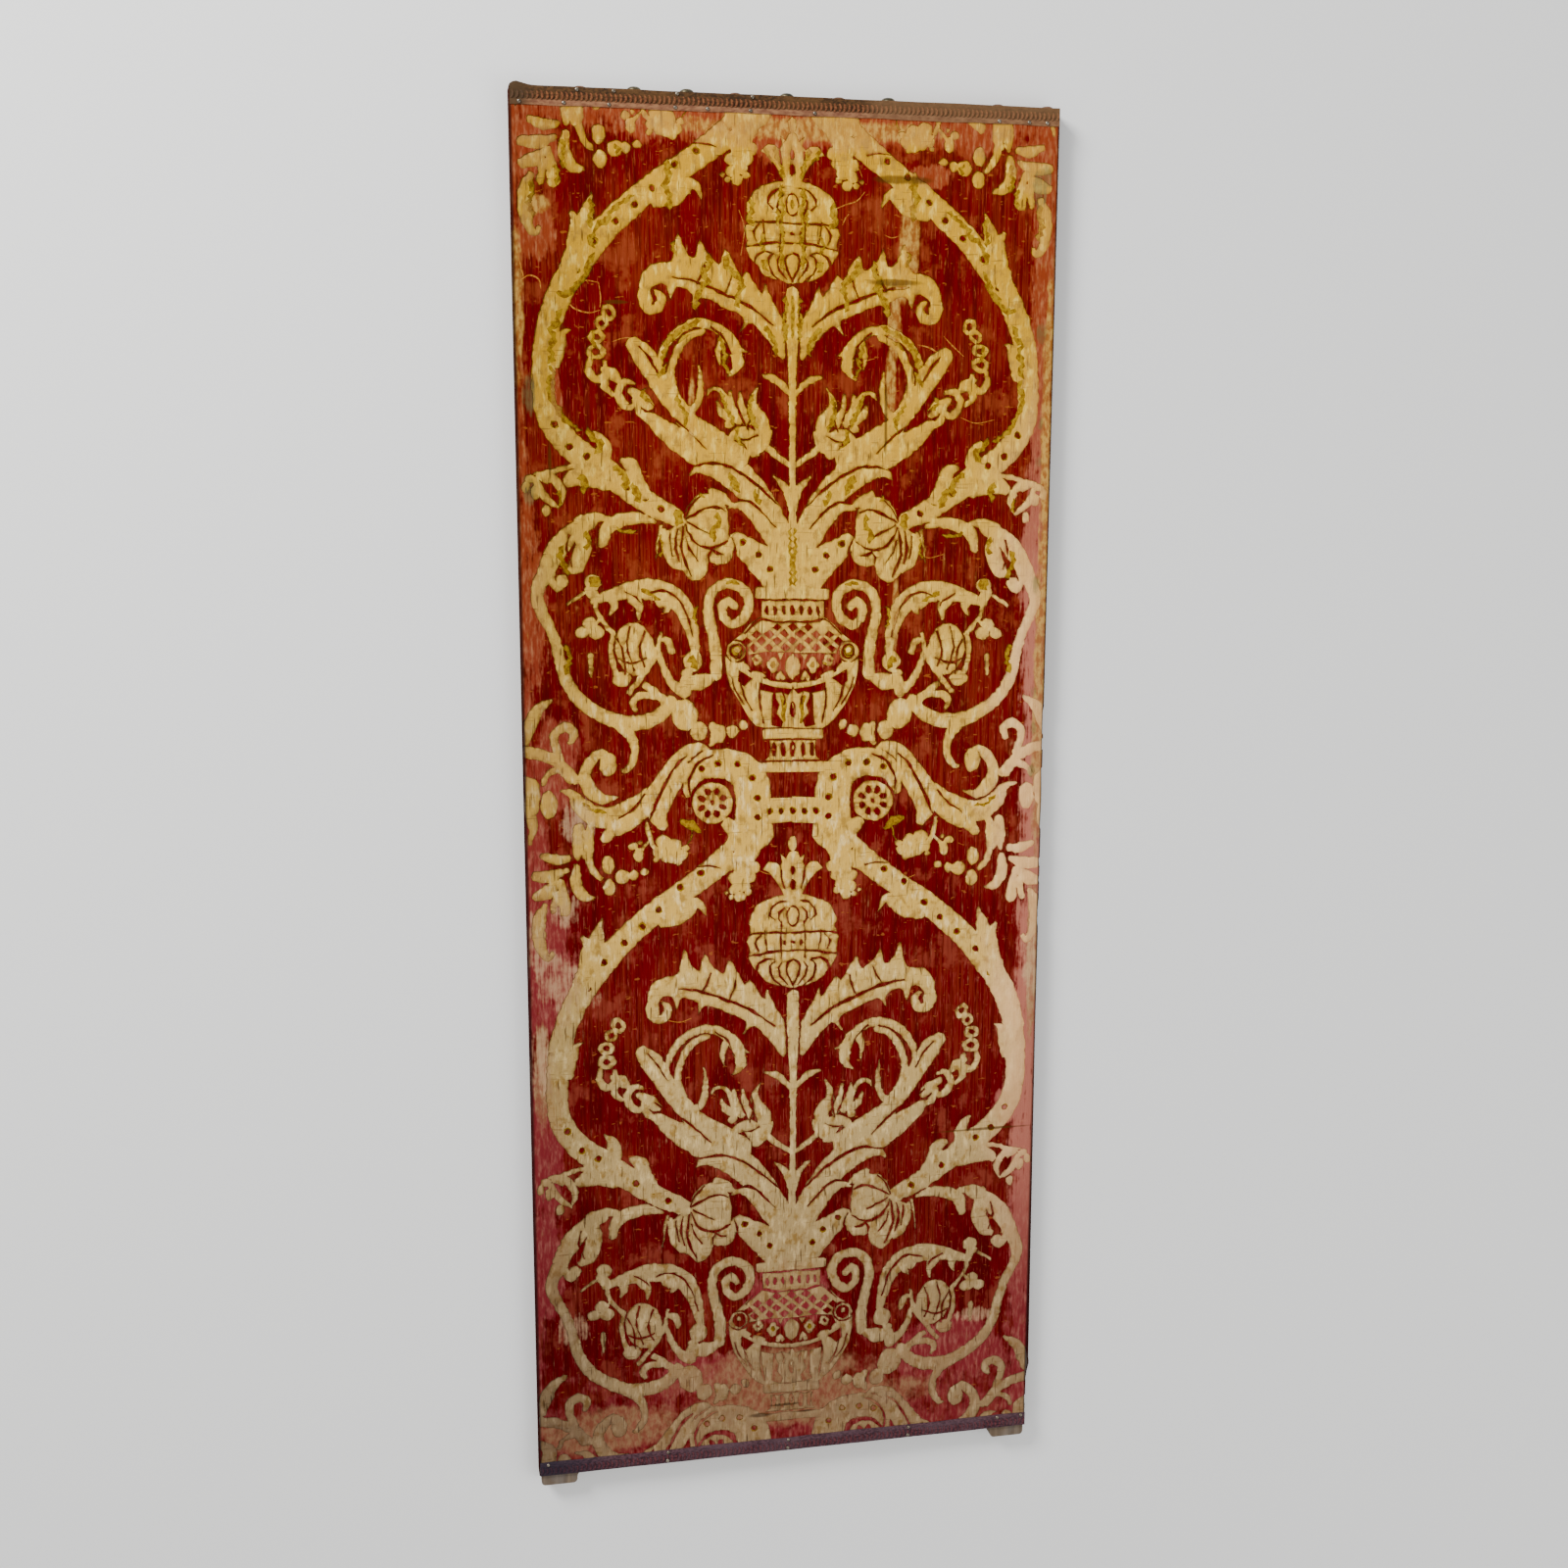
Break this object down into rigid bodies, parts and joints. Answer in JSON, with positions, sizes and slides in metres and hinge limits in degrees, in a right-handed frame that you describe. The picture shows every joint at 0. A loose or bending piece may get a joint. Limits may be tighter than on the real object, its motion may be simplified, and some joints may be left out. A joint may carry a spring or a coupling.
{
  "type": "cut velvet panel on a plain wooden leaf",
  "caption": "Figured cut velvet stretched over a plain wooden leaf with two feet, with ribbed braid at head and foot and domed nails along the top edge.",
  "frame": {"origin": "under the middle of the whole panel as it lies on its back, on the surface it rests on", "axes": "+X across the panel to the right of its face, +Y up the panel towards its head, +Z out of its velvet face"},
  "size_m": [0.616, 1.6104, 0.0261],
  "materials": {
    "wood": "worn grey-brown wood, unvarnished",
    "velvet": "crimson silk pile on a straw satin ground with ochre details, worn",
    "braid": "woven gimp braid with a ribbed middle band, faded red-brown",
    "bronze": "dark tarnished domed nail heads",
    "bright_metal": "small bright tack heads"
  },
  "bodies": {
    "root": {"bottom_rail": "wood", "foot_braid": "braid", "foot_tack_high_1": "bright_metal", "foot_tack_high_2": "bright_metal", "foot_tack_high_3": "bright_metal", "foot_tack_high_4": "bright_metal", "foot_tack_high_5": "bright_metal", "foot_tack_high_6": "bright_metal", "foot_tack_low_1": "bright_metal", "foot_tack_low_2": "bright_metal", "foot_tack_low_3": "bright_metal", "head_braid": "braid", "head_tack_high_1": "bright_metal", "head_tack_high_2": "bright_metal", "head_tack_high_3": "bright_metal", "head_tack_high_4": "bright_metal", "head_tack_low_1": "bright_metal", "head_tack_low_10": "bright_metal", "head_tack_low_2": "bright_metal", "head_tack_low_3": "bright_metal", "head_tack_low_4": "bright_metal", "head_tack_low_5": "bright_metal", "head_tack_low_6": "bright_metal", "head_tack_low_7": "bright_metal", "head_tack_low_8": "bright_metal", "head_tack_low_9": "bright_metal", "left_foot": "wood", "left_stile": "wood", "low_nail_1": "bronze", "low_nail_2": "bronze", "low_nail_3": "bronze", "low_nail_4": "bronze", "low_nail_5": "bronze", "middle_rail": "wood", "nail_1": "bronze", "nail_2": "bronze", "nail_3": "bronze", "nail_4": "bronze", "right_foot": "wood", "right_stile": "wood", "top_rail": "wood", "velvet": "velvet"}
  },
  "joints": []
}
